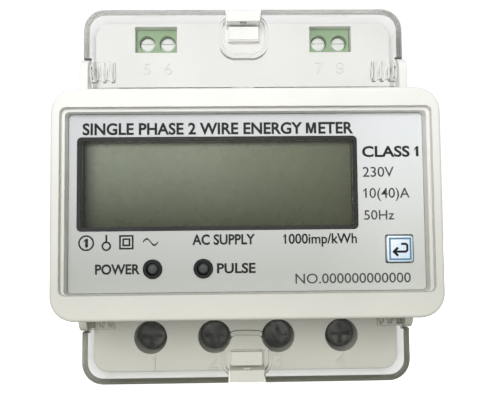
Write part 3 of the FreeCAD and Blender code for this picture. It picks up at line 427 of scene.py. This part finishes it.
def letters(text, left, right, low, high, weight=0.0, thick=0.02):
    """Plates of a text, fitted between two sides and from its base line to its cap height."""
    cap = cap_height()
    pair = width_of("HH")
    meshes, cursor = [], 0.0
    for mark in text:
        if mark in "M1":
            points, advance = straight_glyph(mark, cap, weight)
            mesh = flat_mesh(filled([points]))
        else:
            mesh = drawn(mark, weight)
            advance = width_of(f"H{mark}H") - pair
        for vertex in mesh.vertices:
            vertex.co.x += cursor
        cursor += advance
        if mark == " ":
            bpy.data.meshes.remove(mesh)
        else:
            meshes.append(mesh)
    xs = [vertex.co.x for mesh in meshes for vertex in mesh.vertices]
    wide = (right - left) / (max(xs) - min(xs))
    tall = (high - low) / cap
    for mesh in meshes:
        for vertex in mesh.vertices:
            vertex.co = ((vertex.co.x - min(xs)) * wide + left, vertex.co.y * tall + low, 0)
        thicken(mesh, thick)
    return meshes


def thicken(mesh, thick):
    """Makes a flat mesh a closed plate that stands thick above its plane."""
    work = bmesh.new()
    work.from_mesh(mesh)
    bmesh.ops.remove_doubles(work, verts=work.verts, dist=1e-5)
    bmesh.ops.recalc_face_normals(work, faces=work.faces)
    for face in work.faces:
        if face.normal.z < 0:
            face.normal_flip()
    grown = bmesh.ops.extrude_face_region(work, geom=list(work.faces))
    for item in grown["geom"]:
        if isinstance(item, bmesh.types.BMVert):
            item.co.z += thick
    bmesh.ops.recalc_face_normals(work, faces=work.faces)
    work.to_mesh(mesh)
    work.free()
    return mesh


def filled(loops):
    """A flat curve with the given closed loops of points; a loop inside another is a hole."""
    curve = bpy.data.curves.new("outline", "CURVE")
    curve.dimensions = "2D"
    curve.fill_mode = "BOTH"
    for points in loops:
        spline = curve.splines.new("POLY")
        spline.points.add(len(points) - 1)
        for point, (x, y) in zip(spline.points, points):
            point.co = (x, y, 0, 1)
        spline.use_cyclic_u = True
    return curve


def outline(loops, thick=0.02):
    """A plate with the given closed loops of points."""
    return thicken(flat_mesh(filled(loops)), thick)


def circle(x, y, radius, steps=40):
    """Points round a circle."""
    turns = [2 * math.pi * step / steps for step in range(steps)]
    return [(x + radius * math.cos(turn), y + radius * math.sin(turn)) for turn in turns]


def box_loop(x, y, width, height):
    """Corners of a rectangle about its centre."""
    return [(x - width / 2, y - height / 2), (x + width / 2, y - height / 2),
            (x + width / 2, y + height / 2), (x - width / 2, y + height / 2)]


def square_ring(x, y, half, stroke):
    """The two loops of a square frame, given to the middle of its stroke."""
    return [box_loop(x, y, 2 * half + stroke, 2 * half + stroke),
            box_loop(x, y, 2 * half - stroke, 2 * half - stroke)]


def round_ring(x, y, radius, stroke):
    """The two loops of a ring, given to the middle of its stroke."""
    return [circle(x, y, radius + stroke / 2), circle(x, y, radius - stroke / 2)]


def print_piece(name, meshes, depth, mat, body):
    """One piece made of several flat plates that lie on a front face at a depth."""
    joined = bpy.data.meshes.new(name)
    points, faces = [], []
    for mesh in meshes:
        first = len(points)
        points += [vertex.co.copy() for vertex in mesh.vertices]
        faces += [[first + index for index in polygon.vertices] for polygon in mesh.polygons]
        bpy.data.meshes.remove(mesh)
    joined.from_pydata(points, [], faces)
    joined.transform(Matrix.Scale(MM, 4) @ to_front(depth))
    joined.update()
    joined.materials.append(mat)
    piece = bpy.data.objects.new(name, joined)
    bpy.context.scene.collection.objects.link(piece)
    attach(piece, body)


# ---------------------------------------------------------------- the meter's artwork

def front_of(name):
    """The depth of a node's front face, in millimetres."""
    return -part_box(name)[0].y / MM


def legend():
    """The printed words, ratings and symbols of the faceplate, all generic.

    Each text has its left and right sides, then its base line and its cap height's top.
    """
    black = ink("legend_ink", (0.012, 0.012, 0.013))
    soft = ink("rating_ink", (0.045, 0.05, 0.05))
    depth = front_of("faceplate")
    bold, medium, plain = 0.028, 0.018, 0.006
    heavy = (
        letters("SINGLE PHASE 2 WIRE ENERGY METER", -32.7, 21.5, 13.95, 16.15, bold)
        + letters("CLASS 1", 23.2, 34.6, 9.15, 11.2, bold)
        + letters("AC SUPPLY", -10.95, 1.5, -8.1, -6.2, bold)
        + letters("1000imp/kWh", 7.1, 21.8, -8.1, -6.2, medium)
        + letters("POWER", -30.1, -21.3, -13.75, -11.9, bold)
        + letters("PULSE", -6.1, 1.55, -13.75, -11.9, bold)
        + letters("1", -32.35, -31.5, -8.45, -6.75, bold)
    )
    light = (
        letters("230V", 23.25, 29.5, 5.1, 7.05, plain)
        + letters("10(40)A", 23.3, 32.6, 0.85, 2.8, plain)
        + letters("50Hz", 23.35, 29.4, -3.5, -1.65, plain)
        + letters("NO.000000000000", 9.4, 32.4, -16.0, -14.1, plain)
    )
    stroke = 0.34
    heavy += [
        outline(round_ring(-31.86, -7.6, 1.4, 0.32)),
        outline(round_ring(-27.9, -8.25, 0.78, stroke)),
        outline([box_loop(-27.9, -6.75, 0.36, 1.5)]),
        outline(square_ring(-23.96, -7.5, 1.25, stroke)),
        outline(square_ring(-23.96, -7.5, 0.62, stroke)),
        outline([wave(-19.19, -7.5, 3.0, 0.62, 0.36)]),
    ]
    print_piece("faceplate_legend", heavy, depth, black, BODY)
    print_piece("faceplate_ratings", light, depth, soft, BODY)


def wave(x, y, length, rise, stroke):
    """The outline of a one-period alternating-current sign."""
    steps = 24
    middle = [(x - length / 2 + length * i / steps, y + rise * math.sin(2 * math.pi * i / steps))
              for i in range(steps + 1)]
    above = [(px, py + stroke / 2) for px, py in middle]
    below = [(px, py - stroke / 2) for px, py in reversed(middle)]
    return above + below


def key_artwork():
    """The key's steel-blue border and its black return arrow, drawn about the key's middle."""
    low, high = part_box("push_button")
    x, z = (low.x + high.x) / 2 / MM, (low.z + high.z) / 2 / MM
    depth = front_of("push_button")
    border = ink("key_border_ink", (0.10, 0.19, 0.29))
    ring = outline(square_ring(x, z, 2.05, 0.36))
    print_piece("key_border", [ring], depth, border, "button")
    arrow = ink("key_arrow_ink", (0.004, 0.004, 0.005))
    head = [(x - 1.6, z - 0.55), (x - 0.62, z + 0.42), (x - 0.28, z + 0.1), (x - 0.72, z - 0.33),
            (x + 1.05, z - 0.33), (x + 1.2, z - 0.18), (x + 1.2, z + 0.62), (x + 1.05, z + 0.77),
            (x + 0.2, z + 0.77), (x + 0.2, z + 1.2), (x + 1.2, z + 1.2), (x + 1.62, z + 0.8),
            (x + 1.62, z - 0.35), (x + 1.2, z - 0.77), (x - 0.72, z - 0.77), (x - 0.28, z - 1.2),
            (x - 0.62, z - 1.52)]
    print_piece("key_arrow", [outline([head])], depth + 0.005, arrow, "button")


def pole_numbers(materials):
    """Raised terminal numbers moulded on the two decks."""
    marks = []
    for number, x in enumerate((-22.2, -8.1, 7.6, 22.6), start=1):
        half = 0.45 if number == 1 else 1.25
        marks += letters(str(number), x - half, x + half, -38.7, -35.3, -0.004, 0.25)
    for number, x in zip("5678", (-23.8, -18.6, 18.6, 23.8)):
        marks += letters(number, x - 0.95, x + 0.95, 32.9, 35.8, -0.004, 0.2)
    print_piece("pole_numbers", marks, DECK_DEPTH, materials["housing_white"], BODY)


# ---------------------------------------------------------------- stage

def floor():
    """A plain pale floor under the meter."""
    half = 1.2
    mesh = bpy.data.meshes.new("floor")
    corners = [(-half, -half), (half, -half), (half, half), (-half, half)]
    mesh.from_pydata([(x, y, cad_low.z) for x, y in corners], [], [(0, 1, 2, 3)])
    mat = material("floor_pale", 0.8, Emission_Color=(1, 1, 1, 1), Emission_Strength=0.75)
    feed(mat, "Base Color", ramp(mat, noise(mat, 60, 2), [(0.3, grey(0.90)), (0.7, grey(0.92))]))
    mesh.materials.append(mat)
    piece = bpy.data.objects.new("floor", mesh)
    bpy.context.scene.collection.objects.link(piece)
    piece.visible_diffuse = piece.visible_glossy = piece.visible_transmission = False


def area_light(name, where, aim, size, power, mirrored=True):
    """A square soft light at a point, turned towards another."""
    data = bpy.data.lights.new(name, "AREA")
    data.size = size
    data.energy = power
    lamp = bpy.data.objects.new(name, data)
    bpy.context.scene.collection.objects.link(lamp)
    lamp.location = where
    lamp.visible_camera = False
    lamp.visible_glossy = lamp.visible_transmission = mirrored
    lamp.rotation_mode = "QUATERNION"
    lamp.rotation_quaternion = (Vector(aim) - Vector(where)).to_track_quat("-Z", "Y")


def lights():
    """A wide soft light overhead, a nearer one in front, a little to the left, and one behind."""
    area_light("overhead", (0, -0.1, 1.5), (0, 0, 0), 4.0, 8)
    area_light("key", (-0.03, -0.32, 0.05), (0, -0.04, -0.005), 0.12, 0.635, mirrored=False)
    area_light("behind", (0.35, 0.9, 0.45), (0, 0, 0), 1.0, 5, mirrored=False)


def room():
    """A pale room, dimmer below, and white where it is seen directly or through clear plastic."""
    world = bpy.data.worlds.new("room")
    bpy.context.scene.world = world
    world.use_nodes = True
    world.node_tree.nodes.clear()
    aim = add(world, "ShaderNodeTexCoord").outputs["Generated"]
    height = add(world, "ShaderNodeSeparateXYZ", {0: aim}).outputs["Z"]
    level = spread(world, height, 0.0, 1.0, -0.6, 0.6)
    shade = ramp(world, level, [(0.0, (0.30, 0.295, 0.255)), (1.0, (0.45, 0.455, 0.46))])
    around = add(world, "ShaderNodeBackground", {"Color": shade})
    white = add(world, "ShaderNodeBackground", {"Color": (1, 1, 1, 1), "Strength": 1.05})
    paths = add(world, "ShaderNodeLightPath").outputs
    bounces = math_of(world, "ADD", paths["Glossy Depth"], paths["Diffuse Depth"])
    straight = math_of(world, "LESS_THAN", bounces, 0.5)
    through = math_of(world, "MULTIPLY", paths["Is Transmission Ray"], straight)
    seen = math_of(world, "MAXIMUM", paths["Is Camera Ray"], through)
    mixed = add(world, "ShaderNodeMixShader", {0: seen, 1: around.outputs[0], 2: white.outputs[0]})
    add(world, "ShaderNodeOutputWorld", {"Surface": mixed.outputs[0]})


def camera():
    """A camera in front of the meter, a little to its left, turned slightly up and to the right."""
    tilt, turn, roll = math.radians(2.89), math.radians(1.01), -0.0099
    ahead = Vector((math.sin(turn) * math.cos(tilt), math.cos(turn) * math.cos(tilt), math.sin(tilt)))
    level = ahead.cross(Vector((0, 0, 1))).normalized()
    above = level.cross(ahead)
    right = math.cos(roll) * level + math.sin(roll) * above
    up = math.cos(roll) * above - math.sin(roll) * level
    data = bpy.data.cameras.new("camera")
    data.sensor_width = 36
    data.lens = 37.21
    data.clip_start = 0.01
    eye = bpy.data.objects.new("camera", data)
    bpy.context.scene.collection.objects.link(eye)
    spin = Matrix((right, up, -ahead)).transposed().to_4x4()
    eye.matrix_world = Matrix.Translation(Vector((-2.394, -162.07, -4.416)) * MM) @ spin
    bpy.context.scene.camera = eye


materials = dressed()
dress_frame(materials)
legend()
key_artwork()
pole_numbers(materials)
floor()
lights()
room()
camera()
bpy.context.scene.view_settings.view_transform = "Standard"
